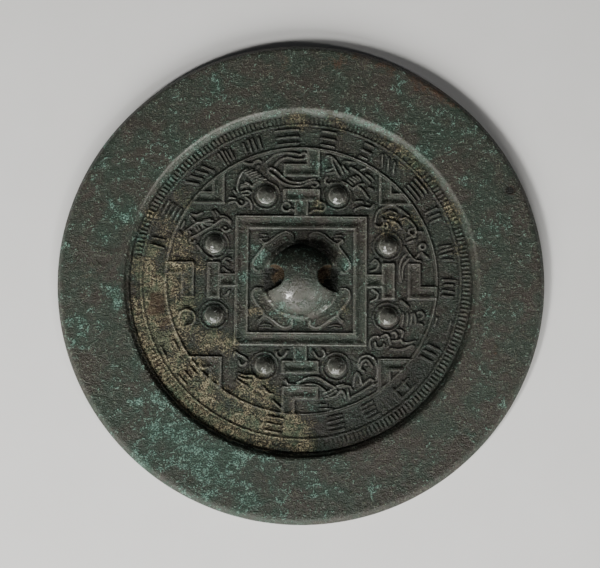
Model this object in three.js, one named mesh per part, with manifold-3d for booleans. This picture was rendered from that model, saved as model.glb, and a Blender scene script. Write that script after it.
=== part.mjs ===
import * as THREE from 'three';
import { ConvexGeometry } from 'three/addons/geometries/ConvexGeometry.js';
import { mergeVertices } from 'three/addons/utils/BufferGeometryUtils.js';
import Module from 'manifold-3d';

// An ancient cast bronze mirror, lying on its polished face with its patterned back up.
// Sizes are in millimetres. The origin is the middle of the face, +Z points out of the back,
// and the cord hole of the knob runs along X.

// Disc and rim
const discRadius = 90;
const rimHeight = 5;
const shoulderInset = 1.3;
const shoulderDrop = 0.45;
const sideTop = 2.9;
const sideFoot = 1.7;
const faceFlatRadius = 30;
const faceRise = 0.95;
const faceEdgeInset = 0.9;
const discSegments = 76;

// Recess inside the rim, cast a little off the disc's middle
const recessRadius = 65.5;
const recessSlope = 2.2;
const recessShift = -0.4;
const floorHeight = 2.2;

// Pattern, cast a little off the other way
const patternShift = 0.4;
const ringRadius = 50;
const ringWidth = 1.3;
const ringHeight = 0.55;
const lineRingRadius = 59.2;
const lineRingWidth = 0.9;
const lineRingHeight = 0.4;
const ringSegments = 64;

// Comb teeth between the line ring and the rim, each a wedge that rises outwards
const toothCount = 240;
const toothLength = 2.4;
const toothWidth = 1.1;
const toothHeight = 0.45;
const toothGap = 0.2;
// The crust buries the teeth between these angles, counted from +X towards +Y
const buriedTeeth = [[172, 205], [250, 283]];

// Fine raised lines of the marks, figures and stroke groups
const lineWidth = 0.85;
const lineHeight = 0.45;
const markWidth = 1.0;
const markHeight = 0.6;
const rootDepth = 0.25;
const curveStep = 3.85;
const bowStep = 75;
// The figures are drawn in fiftieths of the ring's radius
const figureUnit = ringRadius / 50;

// Square frame
const frameInner = 19.8;
const frameBand = 4.3;

// T, L and V marks: bands between two raised lines
const bandWidth = 4.1;
const barLength = 12.9;
const stemWidth = 4.5;
const stemLength = 6.2;
const armGap = 5.5;
const vReach = 29;

// Nipples, in pairs on each side of the square
const nippleRadius = 3.5;
const nippleHeight = 2.5;
const nippleOut = 32.1;
const nippleAlong = 13.3;
const seatRadius = 5.1;
const nippleSegments = 10;
const nippleStep = 36;

// Knob and its cord hole
const knobRadius = 13.3;
const knobHeight = 8.9;
const collarWidth = 1.6;
const collarHeight = 0.7;
const holeWidth = 8.4;
const holeHeight = 6.0;
const holeWall = 2.4;
const flareLength = 7.5;
const flareWiden = 1.18;
const knobSegments = 28;
const knobStep = 18;
const tunnelSteps = 4;
const archSegments = 6;

// Stroke groups in the band between the two rings
const groupMargin = 1.5;
const groupSpan = 3.4;
const groupRows = 3;
const outwardEvery = 3;
const groupAngles = [
  12, 27, 39, 54, 64, 79, 95, 110, 121, 135, 151, 165,
  209, 221, 260, 284, 298, 314, 331, 343, 357
];

const degree = Math.PI / 180;
const wasm = await Module();
wasm.setup();

// Closed geometry to solid, and back
function solidOf(geometry) {
  geometry.deleteAttribute('normal');
  geometry.deleteAttribute('uv');
  const merged = mergeVertices(geometry, 1e-4);
  return new wasm.Manifold(new wasm.Mesh({
    numProp: 3,
    vertProperties: new Float32Array(merged.attributes.position.array),
    triVerts: new Uint32Array(merged.index.array)
  }));
}

function geometryOf(solid) {
  const mesh = solid.getMesh();
  const geometry = new THREE.BufferGeometry();
  geometry.setAttribute('position', new THREE.BufferAttribute(mesh.vertProperties, 3));
  geometry.setIndex(new THREE.BufferAttribute(mesh.triVerts, 1));
  return geometry;
}

function union(solids) {
  return wasm.Manifold.union(solids);
}

// A turned solid about the vertical axis, from [radius, height] pairs that close on the axis
function turned(profile, segments, shift = 0) {
  const geometry = new THREE.LatheGeometry(profile.map(([r, z]) => new THREE.Vector2(r, z)), segments);
  geometry.rotateX(Math.PI / 2);
  geometry.translate(0, shift, 0);
  return solidOf(geometry);
}

// A raised ring with a peaked section; four segments make it a square of that half-width
function raisedRing(radius, width, height, segments = ringSegments) {
  const square = segments === 4;
  const spread = square ? Math.SQRT2 : 1;
  const foot = floorHeight - rootDepth;
  const profile = [
    [(radius - width / 2) * spread, foot],
    [(radius + width / 2) * spread, foot],
    [radius * spread, floorHeight + height],
    [(radius - width / 2) * spread, foot]
  ];
  const geometry = new THREE.LatheGeometry(profile.map(([r, z]) => new THREE.Vector2(r, z)), segments);
  geometry.rotateX(Math.PI / 2);
  if (square) geometry.rotateZ(Math.PI / 4);
  return solidOf(geometry);
}

// A raised line with a peaked section along points on the floor
function ridge(points, width = lineWidth, height = lineHeight) {
  const curve = new THREE.CatmullRomCurve3(points.map(([x, y]) => new THREE.Vector3(x, y, floorHeight)));
  const straight = points.length === 2;
  const steps = straight ? 1 : Math.max(2, Math.round(curve.getLength() / curveStep));
  const section = new THREE.Shape();
  section.moveTo(rootDepth, width / 2);
  section.lineTo(rootDepth, -width / 2);
  section.lineTo(-height, 0);
  section.closePath();
  const path = straight ? new THREE.LineCurve3(curve.points[0], curve.points[1]) : curve;
  return solidOf(new THREE.ExtrudeGeometry(section, { steps, extrudePath: path, bevelEnabled: false }));
}

function bow(x, y, radius, from, to, width = lineWidth, height = lineHeight) {
  const count = Math.max(2, Math.ceil(Math.abs(to - from) / bowStep));
  const points = [];
  for (let i = 0; i <= count; i++) {
    const angle = (from + (to - from) * i / count) * degree;
    points.push([x + radius * Math.cos(angle), y + radius * Math.sin(angle)]);
  }
  return ridge(points, width, height);
}

// A row of short parallel strokes from one place to another
function feathers(start, end, count, reach) {
  const strokes = [];
  for (let i = 0; i < count; i++) {
    const share = i / (count - 1);
    const x = start[0] + (end[0] - start[0]) * share;
    const y = start[1] + (end[1] - start[1]) * share;
    strokes.push(ridge([[x, y], [x + reach[0], y + reach[1]]]));
  }
  return strokes;
}

function quarterTurns(solids) {
  const one = union(solids);
  return [0, 90, 180, 270].map((angle) => one.rotate([0, 0, angle]));
}

function disc() {
  const blank = turned([
    [0, 0],
    [faceFlatRadius, 0],
    [discRadius - faceEdgeInset, faceRise],
    [discRadius, sideFoot],
    [discRadius, sideTop],
    [discRadius - shoulderInset, rimHeight - shoulderDrop],
    [discRadius - shoulderInset - shoulderDrop, rimHeight],
    [0, rimHeight]
  ], discSegments);
  const overcut = 1;
  const slopePerHeight = recessSlope / (rimHeight - floorHeight);
  const recess = turned([
    [0, floorHeight],
    [recessRadius - recessSlope, floorHeight],
    [recessRadius + overcut * slopePerHeight, rimHeight + overcut],
    [0, rimHeight + overcut]
  ], discSegments, recessShift);
  return blank.subtract(recess);
}

function combTeeth() {
  const tip = lineRingRadius + lineRingWidth / 2 + toothGap;
  const foot = floorHeight - rootDepth;
  const tooth = solidOf(new ConvexGeometry([
    new THREE.Vector3(tip, 0, floorHeight),
    new THREE.Vector3(tip + toothLength, -toothWidth / 2, foot),
    new THREE.Vector3(tip + toothLength, toothWidth / 2, foot),
    new THREE.Vector3(tip + toothLength, 0, floorHeight + toothHeight)
  ]));
  const teeth = [];
  for (let i = 0; i < toothCount; i++) {
    const angle = (i + 0.5) * 360 / toothCount;
    if (buriedTeeth.some(([from, to]) => angle > from && angle < to)) continue;
    teeth.push(tooth.rotate([0, 0, angle]));
  }
  return teeth;
}

// Rows of shallow strokes, by turns across the band and along it
function strokeGroups() {
  const inner = ringRadius + ringWidth / 2 + groupMargin;
  const outer = lineRingRadius - lineRingWidth / 2 - groupMargin;
  const middle = (inner + outer) / 2;
  const groups = [];
  groupAngles.forEach((angle, index) => {
    const strokes = [];
    for (let row = 0; row < groupRows; row++) {
      const share = row / (groupRows - 1) - 0.5;
      const along = share * groupSpan;
      const across = middle + share * (outer - inner);
      strokes.push(index % outwardEvery === 1
        ? ridge([[inner, along], [outer, along]])
        : ridge([[across, -groupSpan / 2], [across, groupSpan / 2]]));
    }
    groups.push(union(strokes).rotate([0, 0, angle]));
  });
  return groups;
}

function markLine(...points) {
  const lines = [];
  for (let i = 1; i < points.length; i++) {
    lines.push(ridge([points[i - 1], points[i]], markWidth, markHeight));
  }
  return union(lines);
}

function squareFrame() {
  return [
    raisedRing(frameInner, markWidth, markHeight, 4),
    raisedRing(frameInner + frameBand, markWidth, markHeight, 4)
  ];
}

// A T stands on each side of the square, and an L hangs from the ring beyond it
function tMark() {
  const base = frameInner + frameBand;
  const neck = base + stemLength;
  const top = neck + bandWidth;
  const stem = stemWidth / 2;
  const bar = barLength / 2;
  return markLine(
    [stem, base], [stem, neck], [bar, neck], [bar, top],
    [-bar, top], [-bar, neck], [-stem, neck], [-stem, base]
  );
}

function lMark() {
  const low = frameInner + frameBand + stemLength + bandWidth + armGap;
  const high = low + bandWidth;
  const bar = barLength / 2;
  const foot = bar - stemWidth;
  const ring = (x) => Math.sqrt(ringRadius ** 2 - x ** 2);
  return markLine(
    [foot, ring(foot)], [foot, high], [-bar, high], [-bar, low], [bar, low], [bar, ring(bar)]
  );
}

// A V opens from each corner of the square to the ring
function vMark() {
  const lines = [vReach, vReach + bandWidth].map((corner) => {
    const end = Math.sqrt(ringRadius ** 2 - corner ** 2);
    return markLine([corner, end], [corner, corner], [end, corner]);
  });
  return union(lines);
}

// The profile of a dome on the floor, with a point at each step of the angle
function domeProfile(radius, height, step) {
  const profile = [[0, floorHeight - rootDepth], [radius, floorHeight - rootDepth]];
  for (let angle = 0; angle < 90; angle += step) {
    profile.push([radius * Math.cos(angle * degree), floorHeight + height * Math.sin(angle * degree)]);
  }
  profile.push([0, floorHeight + height]);
  return profile;
}

function nipple(x, y) {
  const dome = turned(domeProfile(nippleRadius, nippleHeight, nippleStep), nippleSegments);
  const seat = raisedRing(seatRadius, lineWidth, lineHeight, nippleSegments);
  return dome.add(seat).translate([x, y, 0]);
}

function knob() {
  const dome = turned(domeProfile(knobRadius, knobHeight, knobStep), knobSegments);

  const section = new THREE.Shape();
  const wallTop = holeWall - rootDepth;
  section.moveTo(-holeWidth / 2, -2 * rootDepth);
  section.lineTo(holeWidth / 2, -2 * rootDepth);
  section.lineTo(holeWidth / 2, wallTop);
  section.absellipse(0, wallTop, holeWidth / 2, holeHeight - wallTop, 0, Math.PI, false);
  section.closePath();
  const length = 2 * (knobRadius + collarWidth);
  const tunnel = new THREE.ExtrudeGeometry(section, {
    depth: length,
    steps: tunnelSteps,
    curveSegments: archSegments,
    bevelEnabled: false
  });
  tunnel.translate(0, 0, -length / 2);
  const flareStart = knobRadius - flareLength;
  const place = tunnel.attributes.position;
  for (let i = 0; i < place.count; i++) {
    const out = Math.max(0, Math.abs(place.getZ(i)) - flareStart) / flareLength;
    const widen = 1 + (flareWiden - 1) * out;
    place.setX(i, place.getX(i) * widen);
    if (place.getY(i) > 0) place.setY(i, place.getY(i) * widen);
  }
  tunnel.rotateX(Math.PI / 2);
  tunnel.rotateZ(Math.PI / 2);
  tunnel.translate(0, 0, floorHeight);
  const collar = raisedRing(knobRadius + collarWidth / 4, collarWidth, collarHeight, knobSegments);
  return dome.subtract(solidOf(tunnel)).add(collar);
}

function drawn(...points) {
  return ridge(points.map(([x, y]) => [x * figureUnit, y * figureUnit]));
}

function curl(x, y, radius, from, to) {
  return bow(x * figureUnit, y * figureUnit, radius * figureUnit, from, to);
}

function plumes(start, end, count, reach) {
  const scaled = [start, end, reach].map(([x, y]) => [x * figureUnit, y * figureUnit]);
  return feathers(scaled[0], scaled[1], count, scaled[2]);
}

// Leaf outlines from the knob's foot to each corner of the panel, with a short stroke beyond each
function petals() {
  return [1, -1].flatMap((side) => [
    drawn([3.1 * side, -15], [3.7 * side, -17.6], [7 * side, -18], [13 * side, -13.8], [15.1 * side, -15.4]),
    drawn([10.8 * side, -17.7], [15 * side, -17.4])
  ]);
}

// Hooked curls on both sides of each T's stem
function stemCurls() {
  return [1, -1].map((side) => drawn(
    [3.7 * side, 25.9], [6 * side, 28.4], [8 * side, 27.4], [7 * side, 26.2]
  ));
}

// Two long ribbons with curled ends, between the L and the T
function topRibbons() {
  return [
    drawn([-13.8, 44.2], [-10, 47.4], [-5.5, 48.2], [-1.6, 47.7]),
    drawn([-10.1, 43.6], [-7.5, 45.9], [-1, 45.9], [1.9, 47.5], [0.2, 48.4]),
    drawn([-11.5, 42.4], [-6.5, 38.6], [-1.5, 37], [5, 38.7]),
    drawn([-12.5, 41], [-6.5, 36.6], [-1, 35.8], [4.8, 37.4], [6, 36.2], [4.6, 35.4])
  ];
}

// A maned creature that faces the ring
function manedCreature() {
  return [
    drawn([-21.8, 44.6], [-19.3, 44], [-17.6, 45.3], [-15.5, 45.2]),
    drawn([-20.5, 42.2], [-23.2, 39.4], [-23.8, 34]),
    ...plumes([-20.6, 40.6], [-18.4, 37.4], 4, [3.2, 1.5]),
    drawn([-21, 37.2], [-18.2, 35.4], [-13.4, 38.3]),
    ...plumes([-22.4, 35.3], [-22.2, 32.2], 3, [2.5, 0.4]),
    curl(-22.4, 30.3, 2.2, 200, 340),
    drawn([-20.8, 31.2], [-18.8, 27.2]),
    drawn([-27, 31], [-24.8, 30.7])
  ];
}

function wingedCreature() {
  return [
    drawn([9, 47], [12.4, 46], [15.4, 40.8]),
    drawn([10.9, 46.3], [14, 39.5]),
    curl(10.3, 38, 1.7, 100, 300),
    drawn([15.4, 44.9], [20, 44.7]),
    drawn([15.2, 43.8], [17.4, 41.2]),
    drawn([18, 43], [25.4, 37.2]),
    ...plumes([16.7, 38.3], [20.2, 40], 4, [2, -1.6]),
    drawn([14.8, 37.7], [19.2, 35], [23, 36.8]),
    drawn([20.8, 35.8], [24.7, 31.3]),
    curl(24.6, 29.6, 2, 190, 350),
    drawn([19.8, 26.9], [23, 28])
  ];
}

// A bird with a round wing, and the scrolls below it
function bird() {
  return [
    drawn([27.4, 22.3], [28.6, 26.4], [34, 28.2], [39.7, 24.6]),
    curl(28.9, 22.2, 1.8, 190, 340),
    drawn([30.8, 22.9], [34, 22.7], [36.8, 20]),
    drawn([36.5, 23.4], [39.4, 23.6], [42.5, 20]),
    ...plumes([39.3, 16.3], [39.3, 14.5], 2, [3, 0.8]),
    drawn([38.3, 13], [40.4, 9.2], [44.3, 7.4]),
    drawn([42.6, 8.9], [44.6, 10.8], [47, 8.8]),
    drawn([39, 10.4], [36.6, 6], [36.6, 0.5])
  ];
}

function sideScrolls() {
  return [
    drawn([37, -7.2], [39.8, -9.6]),
    ...plumes([37.7, -12.5], [42, -12.5], 4, [0.1, -4]),
    curl(44, -12.6, 1.4, -90, 90),
    drawn([25.9, -25.3], [25.6, -22], [28.8, -21]),
    drawn([27.4, -22.8], [28.4, -25], [30.8, -24]),
    drawn([29.9, -20.9], [31.7, -20.3], [33.2, -23.2]),
    curl(35.2, -20, 1.5, -60, 150),
    drawn([34, -22.4], [37, -21.9], [38.8, -23.2], [42.3, -22.3]),
    drawn([33.2, -25.2], [37.5, -25.5], [41.4, -24])
  ];
}

function bottomRibbons() {
  return [
    drawn([-1, -38.3], [3.2, -36.3], [7.5, -36.7], [12.9, -39.7]),
    drawn([-5.4, -37.4], [-3.6, -38.9], [4.5, -38.7], [9.6, -41.3]),
    ...plumes([8.8, -42.1], [9.4, -44.4], 3, [4, 2]),
    drawn([13.4, -43.2], [15.2, -40.9], [16.6, -43.8]),
    drawn([15, -39.9], [17.4, -39.2], [18.2, -44.2]),
    drawn([19.6, -39], [21, -34.3], [22.5, -38.6]),
    drawn([21.6, -32.6], [22, -28.8], [26.4, -28.6], [28.2, -36.8]),
    drawn([23.5, -33.7], [22.4, -31], [24.8, -29.8], [26.4, -32]),
    drawn([23, -38.8], [25.5, -36.7], [27, -37.4]),
    drawn([18.2, -43.8], [27, -38.2])
  ];
}

function buriedScrolls() {
  return [
    drawn([-24.5, -28.8], [-23.4, -27.3], [-19.6, -29.9]),
    curl(-21.2, -30.6, 1.5, 150, 330),
    drawn([-22.5, -36.2], [-18, -37]),
    drawn([-17.3, -35.5], [-13.4, -37.4]),
    drawn([-10, -45], [-6, -48.2]),
    curl(-42, -14.5, 3.1, -70, 130)
  ];
}

// A leaf-shaped wing with a hatched band under it
function hatchedWing() {
  return [
    drawn([-41.2, 15.6], [-35, 19.2], [-29.4, 22.8], [-26.3, 20.8]),
    drawn([-30, 23.9], [-26, 22]),
    curl(-28, 19.8, 1.5, 190, 350),
    drawn([-43.3, 17.8], [-39.5, 20.8], [-33, 20.9]),
    ...plumes([-42, 18.6], [-36.8, 20.6], 4, [1.1, -1.7]),
    drawn([-33, 22.5], [-39.4, 21.8], [-41.6, 24]),
    drawn([-41, 24.6], [-36.5, 25.6]),
    ...plumes([-33.2, 26], [-32, 26.2], 2, [1.1, -1.7]),
    curl(-45.1, 16.2, 1.3, 30, 330),
    drawn([-38.2, 12.4], [-33, 7.5])
  ];
}

function nipples() {
  return quarterTurns([nipple(-nippleAlong, nippleOut), nipple(nippleAlong, nippleOut)]);
}

function pattern() {
  const solids = [
    raisedRing(ringRadius, ringWidth, ringHeight),
    raisedRing(lineRingRadius, lineRingWidth, lineRingHeight),
    ...combTeeth(),
    ...strokeGroups(),
    ...squareFrame(),
    ...quarterTurns([tMark(), lMark(), vMark(), ...petals(), ...stemCurls()]),
    ...topRibbons(),
    ...manedCreature(),
    ...wingedCreature(),
    ...bird(),
    ...sideScrolls(),
    ...bottomRibbons(),
    ...buriedScrolls(),
    ...hatchedWing(),
    ...nipples(),
    knob()
  ];
  return union(solids).translate([0, patternShift, 0]);
}

const mirror = new THREE.Mesh(
  geometryOf(disc().add(pattern())),
  new THREE.MeshStandardMaterial({ color: 0x5a5650, roughness: 0.55, metalness: 0.6 })
);
mirror.name = 'mirror';

const group = new THREE.Group();
group.add(mirror);

export default group;
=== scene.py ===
import math

import bmesh
import bpy
import numpy as np
from mathutils import Matrix, Vector


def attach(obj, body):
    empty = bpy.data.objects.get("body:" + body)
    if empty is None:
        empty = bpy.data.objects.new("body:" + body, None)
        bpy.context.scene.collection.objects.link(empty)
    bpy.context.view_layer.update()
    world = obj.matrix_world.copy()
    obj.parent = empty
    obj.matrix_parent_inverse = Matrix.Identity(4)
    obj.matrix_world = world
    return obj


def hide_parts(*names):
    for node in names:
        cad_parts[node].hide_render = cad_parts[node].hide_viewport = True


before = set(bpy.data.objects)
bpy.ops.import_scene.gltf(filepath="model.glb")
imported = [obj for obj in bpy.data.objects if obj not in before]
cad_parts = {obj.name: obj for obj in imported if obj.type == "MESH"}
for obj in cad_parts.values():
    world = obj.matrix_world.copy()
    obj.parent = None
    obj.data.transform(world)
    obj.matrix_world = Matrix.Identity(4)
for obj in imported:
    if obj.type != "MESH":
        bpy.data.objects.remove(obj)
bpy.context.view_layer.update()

# An ancient cast bronze mirror lies on its polished face, with its patterned back up.
# The design is worked out in millimetres and made in metres. Its middle is the frame's origin.
MM = 0.001
FINENESS = 1.0

# Disc, rim and recess
DISC_RADIUS = 90.0
RIM_HEIGHT = 5.0
FLOOR = 2.2
RECESS_RADIUS = 65.5
SLOPE_WIDTH = 2.4
SLOPE_FOOT = RECESS_RADIUS - SLOPE_WIDTH
RECESS_SHIFT = -0.4
PATTERN_SHIFT = 0.4

# Rings and comb
RING = 50.2
RING_HALF = 0.95
RING_HEIGHT = 0.68
FINE_RING = 59.2
FINE_RING_HALF = 0.65
FINE_RING_HEIGHT = 0.5
TEETH = 240
TOOTH_HALF = 0.6
TOOTH_HEIGHT = 0.46
COMB_INNER = 59.9
COMB_OUTER = 62.6
# Where crust buries the comb, in degrees, and the share of its height that is lost
BURIED_TEETH = [(172, 205), (250, 283)]
BURIED_SHARE = 0.8

# Raised lines, as half widths and heights
LINE_HALF = 0.64
LINE_HEIGHT = 0.8
STROKE_HALF = 0.6
STROKE_HEIGHT = 0.74
FAINT_HALF = 0.45
TICK_HEIGHT = 0.35
DOUBLE_HEIGHT = 0.3
MARK_HALF = 0.68
MARK_HEIGHT = 0.86
MARK_BAND_HALF = 2.05
BOWL_CURVE = 1.7
FRAME_INNER = 19.8
FRAME_OUTER = 24.1
PETAL_MIDDLE = 0.26
PETAL_EDGE = 0.66

# The stroke groups stand between these radii
STROKES_INNER = 52.1
STROKES_OUTER = 57.4

# Nipples, as far out from the middle and as far along each side
NIPPLE_OUT = 32.1
NIPPLE_ALONG = 13.3
NIPPLE_HEIGHT = 2.5
NIPPLE_FOOT = 4.4
SEAT_RING = 5.15
SEAT_HALF = 0.55
SEAT_HEIGHT = 0.34
DISH_RADIUS = 3.9
DISH_HALF = 1.2
DISH_DEPTH = 0.12

# Knob and cord hole
KNOB_RADIUS = 13.3
KNOB_HEIGHT = 8.9
COLLAR_RADIUS = 13.6
COLLAR_HALF = 1.9
COLLAR_INNER = 11.0

# Skins of the plate, which overlap a little below their edges
SLAB_BOTTOM = 0.9
TUCK_DEPTH = 0.6
BAND_INNER = 49.0
BAND_OUTER = 64.7
FIELD_INNER = 24.4
FIELD_OUTER = 49.62
PANEL_HALF = 24.95
KNOB_FOOT_REACH = 16.5

# Farther than any raised line
FAR = 99.0


# Noise and masks on plain arrays

def lattice_noise(x, y, cell, seed):
    """Smooth noise from 0 to 1 that changes over about one cell."""
    size = 256
    table = np.random.default_rng(seed).random((size, size))
    gx, gy = x / cell + size / 2, y / cell + size / 2
    ix, iy = np.floor(gx).astype(int), np.floor(gy).astype(int)
    fx, fy = smooth(gx - ix), smooth(gy - iy)
    here, right = ix % size, (ix + 1) % size
    low, high = iy % size, (iy + 1) % size
    near = table[here, low] * (1 - fx) + table[right, low] * fx
    far = table[here, high] * (1 - fx) + table[right, high] * fx
    return near * (1 - fy) + far * fy


def layered_noise(x, y, cell, seed, layers=3):
    """Lattice noise in finer and finer layers, each turned against the last."""
    total, weight = 0.0, 0.0
    for layer in range(layers):
        share = 0.55**layer
        turn = 0.6 + 0.9 * layer
        tx, ty = x * math.cos(turn) - y * math.sin(turn), x * math.sin(turn) + y * math.cos(turn)
        total = total + share * lattice_noise(tx, ty, cell / 2**layer, seed + layer)
        weight += share
    return total / weight


def smooth(t):
    t = np.clip(t, 0.0, 1.0)
    return t * t * (3 - 2 * t)


def between(value, low, high):
    """0 below low, 1 above high and a smooth rise from one to the other."""
    return smooth((value - low) / (high - low))


def bell(distance, half):
    return np.clip(1 - (distance / half) ** 2, 0, 1) ** 2


# Where the burial left its traces

# Soft round spots as (x, y, radius, strength), each fading out at SPOT_REACH times its radius
SPOT_REACH = 1.9
CRUST_SPOTS = [
    (-56, -12, 8, 1), (-52, -3, 9, 1), (-58, 4, 6, 0.9), (-47, 3, 7, 0.8), (-47, -12, 8, 0.9), (-57, -22, 7, 1),
    (-49, -22, 7, 0.8), (-53, -31, 7, 1), (-47, -37, 7, 0.9), (-43, -44, 7, 1), (-35, -48, 8, 1), (-30, -55, 6, 1),
    (-22, -54, 8, 1), (-12, -56, 8, 1), (-2, -56, 7, 1), (3, -60, 5, 0.8), (-1, -52, 5, 0.8), (-40, 4, 6, 0.5),
    (-41, -16, 6, 0.6), (-34, -22, 6, 0.6), (-27, -24, 4, 0.8), (-43, -27, 5, 0.8), (-39, -33, 4, 0.7),
    (-33, -39, 4, 0.7), (-28, -42, 4, 0.7), (-20, -46, 5, 0.8), (-12, -50, 5, 0.8), (-20, -39, 5, 0.6),
    (-15, -41, 7, 0.6), (-10, -47, 6, 0.6), (-4, -49, 5, 0.4), (-57, 12, 5, 0.7), (-45, 13, 6, 0.6), (-38, -4, 6, 0.4),
    (-17, -11, 3, 0.5), (-8, -12, 3, 0.45), (16.5, -11, 3, 0.4), (33, 22, 6, 0.45), (40, 22, 5, 0.45), (56, 27, 6, 0.5),
    (6, 28, 3, 0.5), (47, 42, 6, 0.6), (40, 49, 6, 0.6), (31, 55, 6, 0.5), (-46, 30, 6, 0.4), (-3, 61, 6, 0.5),
    (-30, 54, 5, 0.35), (-50, 22, 6, 0.45), (12, 61, 6, 0.4), (60, 12, 5, 0.4), (22, -56, 5, 0.25), (-58, 22, 5, 0.5),
]
GREEN_SPOTS = [
    (-45, -60, 17, 1), (-28, -70, 17, 1), (-12, -78, 10, 0.8), (6, -74, 9, 0.5), (-56, -48, 9, 0.7), (-68, -7, 4, 1),
    (-75, 15, 4, 0.8), (-66, 24, 6, 0.8), (-60, 16, 4, 0.8), (-80, -22, 8, 0.5), (-60, 40, 7, 0.4), (-50, 50, 5, 0.5),
    (-10, 65, 4, 0.5), (18, 64, 4, 0.6), (32, 58, 4, 0.6), (45, 48, 4, 0.6), (-48, 41, 6, 0.8), (-40, 51, 6, 0.7),
    (0, 31, 4, 0.6), (8, 43, 4, 0.8), (0, -28, 3, 0.5), (2, 3, 6, 0.5), (-17, 10, 4, 0.9), (17, 7, 3.5, 0.9),
    (-19, 3, 3, 0.6), (67, -9, 3, 0.7), (62, 52, 9, 0.5), (63, 38, 6, 0.5), (70, 20, 5, 0.4), (38, 76, 7, 0.5),
    (-30, 75, 8, 0.4), (-75, 42, 6, 0.4), (25, -77, 4, 0.7), (48, -60, 4, 0.4), (66, -33, 5, 0.4), (-13, -28, 4, 0.5),
    (-33, -12, 4, 0.6), (0, -38, 4, 0.6), (6, -45, 4, 0.6), (-48, 25, 4, 0.6), (-2, 23, 3, 1), (8, 27, 3, 0.7),
    (-22, -80, 9, 0.8), (-64, -36, 8, 0.4), (-8, -86, 2.4, 1), (-88, 12, 3, 0.6), (5, -4, 3, 0.6), (-7, -12, 3, 0.9),
    (-3, -14.5, 2.5, 0.9), (8, -9, 3, 0.4), (-9, -3, 2, 0.5),
    (58, 60, 9, 0.4), (38, 38, 5, 0.4), (56, 10, 4, 0.4), (60, 0, 4, 0.3), (-76, 60, 10, 0.3), (70, -50, 8, 0.25),
]
# Darker patina patches, except the three spots just above the knob, which are the knob's painted cast shadow
DARK_PATCHES_AND_KNOB_SHADOW = [
    (10, -54, 9, 1), (22, -52, 9, 1), (34, -44, 9, 1), (43, -34, 8, 1), (50, -22, 8, 0.8), (32, -30, 7, 0.6),
    (45, -2, 7, 0.5), (54, -8, 6, 0.5), (-2, 10, 7, 1), (6, 13, 5, 0.8), (-8, 12, 5, 0.8), (-25, 5, 7, 0.4),
    (-3, -30, 7, 0.4), (22, 28, 7, 0.4), (-36, 30, 7, 0.5), (-20, 48, 6, 0.4), (20, -38, 7, 0.4),
]
RIM_STAINS = [
    (77.3, 34.5, 1.6, 2), (75, 30, 1.5, 0.4), (-76, 50, 3, 0.3), (-60, 58, 3, 0.3), (2, 81, 4, 0.3), (72, 4, 3, 0.25),
]
RUST_SPOTS = [
    (22, 87, 5, 0.5), (33, 84, 6, 0.6), (43, 79, 6, 0.7), (51, 73, 6, 0.6), (57, 67, 6, 0.5), (62, 61, 5, 0.4),
    (77, 34.5, 2.2, 1), (18, -9, 4, 0.4), (-53, -9, 4, 1), (-50, -16, 3, 0.8), (-9, 4.5, 2, 1), (9, 4.5, 2, 1),
    (70, -27, 5, 0.35), (22, 2, 3, 0.3), (-8, 82, 8, 0.3), (12, 84, 7, 0.35), (-78, 2, 6, 0.25),
]


def patches(x, y, spots):
    """The strongest of several soft round spots."""
    best = np.zeros_like(x)
    for sx, sy, radius, strength in spots:
        best = np.maximum(best, strength * (1 - smooth(np.hypot(x - sx, y - sy) / (SPOT_REACH * radius))))
    return best


def traces(x, y):
    """How much crust, green and rust lies at each place, from 0 to 1."""
    ragged = layered_noise(x, y, 5.0, 11) - 0.5
    fine = layered_noise(x, y, 1.4, 17) - 0.5
    crust = patches(x, y, CRUST_SPOTS)
    crust = between(crust + (0.9 * ragged + 0.5 * fine) * np.minimum(1, 3 * crust), 0.05, 0.95)
    green = patches(x, y, GREEN_SPOTS)
    blotch = layered_noise(x, y, 6.0, 23, 4) - 0.5
    green = np.clip(0.75 * green + 1.3 * blotch * np.minimum(1, 0.25 + 1.2 * green), 0, 1)
    rust = patches(x, y, RUST_SPOTS)
    rust = np.clip(rust + 0.9 * (layered_noise(x, y, 3.0, 31) - 0.5) * np.minimum(1, 3 * rust), 0, 1)
    return crust, green, rust


# The raised lines, in the pattern's own frame

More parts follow.
